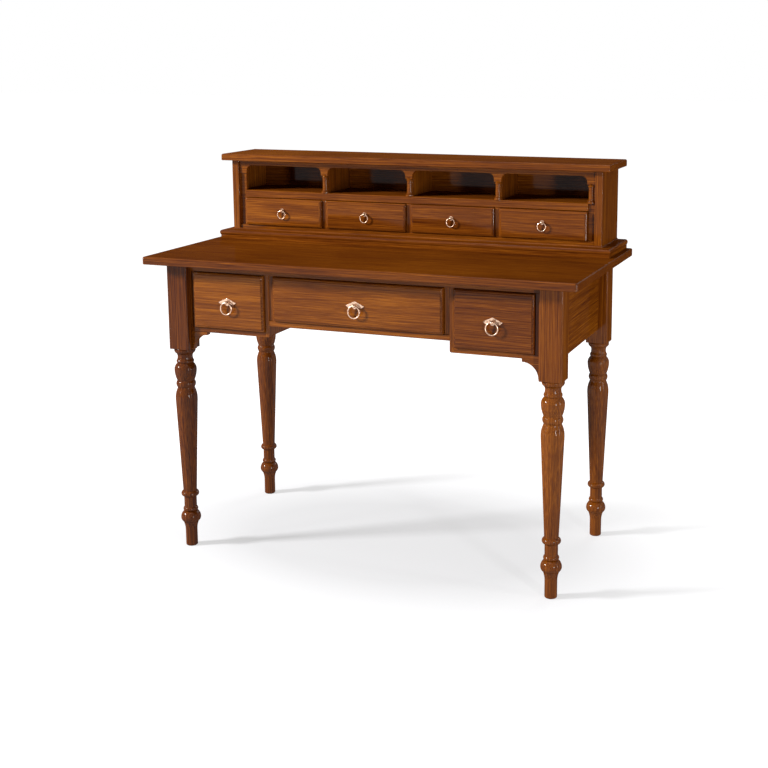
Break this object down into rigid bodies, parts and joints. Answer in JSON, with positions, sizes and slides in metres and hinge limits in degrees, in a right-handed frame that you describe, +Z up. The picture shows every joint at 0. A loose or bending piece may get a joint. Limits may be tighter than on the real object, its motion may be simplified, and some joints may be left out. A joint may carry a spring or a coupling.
{
  "type": "writing desk",
  "caption": "Bonheur du jour: writing table on turned legs with drawers below the top and a low superstructure of small drawers under arcaded pigeonholes.",
  "frame": {"origin": "on the floor, under the middle of the tabletop", "axes": "+X to the right as one faces the drawers, +Y to the back, +Z up; drawers open towards -Y"},
  "size_m": [1.15, 0.57, 1.026],
  "materials": {
    "lacquered_wood": "gloss",
    "inner_wood": "satin",
    "silver": "satin"
  },
  "bodies": {
    "desk": {"arcade": "lacquered_wood", "back_apron": "lacquered_wood", "base_moulding": "lacquered_wood", "carcase_back": "inner_wood", "carcase_floor": "lacquered_wood", "carcase_side_left": "lacquered_wood", "carcase_side_right": "lacquered_wood", "case_bottom_left": "lacquered_wood", "case_bottom_middle": "lacquered_wood", "case_bottom_right": "lacquered_wood", "corner_bracket_left": "lacquered_wood", "corner_bracket_right": "lacquered_wood", "cornice": "lacquered_wood", "drawer_cheek_left": "inner_wood", "drawer_cheek_right": "inner_wood", "drawer_partition_1": "inner_wood", "drawer_partition_2": "inner_wood", "drawer_partition_3": "inner_wood", "front_rail": "lacquered_wood", "leg_back_left": "lacquered_wood", "leg_back_right": "lacquered_wood", "leg_front_left": "lacquered_wood", "leg_front_right": "lacquered_wood", "partition_left": "lacquered_wood", "partition_right": "lacquered_wood", "pigeonhole_divider_1": "lacquered_wood", "pigeonhole_divider_2": "lacquered_wood", "pigeonhole_divider_3": "lacquered_wood", "shelf": "lacquered_wood", "side_apron_left": "lacquered_wood", "side_apron_right": "lacquered_wood", "tabletop": "lacquered_wood"},
    "drawer_left": {"drawer_front_left": "lacquered_wood", "drawer_box_left": "inner_wood", "pull_plate_left": "silver"},
    "ring_left": {"pull_ring_left": "silver"},
    "drawer_middle": {"drawer_front_middle": "lacquered_wood", "drawer_box_middle": "inner_wood", "pull_plate_middle": "silver"},
    "ring_middle": {"pull_ring_middle": "silver"},
    "drawer_right": {"drawer_front_right": "lacquered_wood", "drawer_box_right": "inner_wood", "pull_plate_right": "silver"},
    "ring_right": {"pull_ring_right": "silver"},
    "drawer_small_1": {"drawer_front_small_1": "lacquered_wood", "drawer_box_small_1": "inner_wood", "pull_plate_small_1": "silver"},
    "ring_small_1": {"pull_ring_small_1": "silver"},
    "drawer_small_2": {"drawer_front_small_2": "lacquered_wood", "drawer_box_small_2": "inner_wood", "pull_plate_small_2": "silver"},
    "ring_small_2": {"pull_ring_small_2": "silver"},
    "drawer_small_3": {"drawer_front_small_3": "lacquered_wood", "drawer_box_small_3": "inner_wood", "pull_plate_small_3": "silver"},
    "ring_small_3": {"pull_ring_small_3": "silver"},
    "drawer_small_4": {"drawer_front_small_4": "lacquered_wood", "drawer_box_small_4": "inner_wood", "pull_plate_small_4": "silver"},
    "ring_small_4": {"pull_ring_small_4": "silver"}
  },
  "joints": [
    {"name": "slide_left", "type": "slide", "parent": "desk", "child": "drawer_left", "axis": [0, -1, 0], "range_m": [0, 0.28]},
    {"name": "swing_left", "type": "hinge", "parent": "drawer_left", "child": "ring_left", "pos_m": [-0.357, -0.244, 0.6765], "axis": [-1, 0, 0], "range_deg": [0, 90]},
    {"name": "slide_middle", "type": "slide", "parent": "desk", "child": "drawer_middle", "axis": [0, -1, 0], "range_m": [0, 0.28]},
    {"name": "swing_middle", "type": "hinge", "parent": "drawer_middle", "child": "ring_middle", "pos_m": [0, -0.244, 0.692], "axis": [-1, 0, 0], "range_deg": [0, 90]},
    {"name": "slide_right", "type": "slide", "parent": "desk", "child": "drawer_right", "axis": [0, -1, 0], "range_m": [0, 0.28]},
    {"name": "swing_right", "type": "hinge", "parent": "drawer_right", "child": "ring_right", "pos_m": [0.357, -0.244, 0.6765], "axis": [-1, 0, 0], "range_deg": [0, 90]},
    {"name": "slide_small_1", "type": "slide", "parent": "desk", "child": "drawer_small_1", "axis": [0, -1, 0], "range_m": [0, 0.1]},
    {"name": "swing_small_1", "type": "hinge", "parent": "drawer_small_1", "child": "ring_small_1", "pos_m": [-0.375, 0.102, 0.8715], "axis": [-1, 0, 0], "range_deg": [0, 90]},
    {"name": "slide_small_2", "type": "slide", "parent": "desk", "child": "drawer_small_2", "axis": [0, -1, 0], "range_m": [0, 0.1]},
    {"name": "swing_small_2", "type": "hinge", "parent": "drawer_small_2", "child": "ring_small_2", "pos_m": [-0.125, 0.102, 0.8715], "axis": [-1, 0, 0], "range_deg": [0, 90]},
    {"name": "slide_small_3", "type": "slide", "parent": "desk", "child": "drawer_small_3", "axis": [0, -1, 0], "range_m": [0, 0.1]},
    {"name": "swing_small_3", "type": "hinge", "parent": "drawer_small_3", "child": "ring_small_3", "pos_m": [0.125, 0.102, 0.8715], "axis": [-1, 0, 0], "range_deg": [0, 90]},
    {"name": "slide_small_4", "type": "slide", "parent": "desk", "child": "drawer_small_4", "axis": [0, -1, 0], "range_m": [0, 0.1]},
    {"name": "swing_small_4", "type": "hinge", "parent": "drawer_small_4", "child": "ring_small_4", "pos_m": [0.375, 0.102, 0.8715], "axis": [-1, 0, 0], "range_deg": [0, 90]}
  ]
}
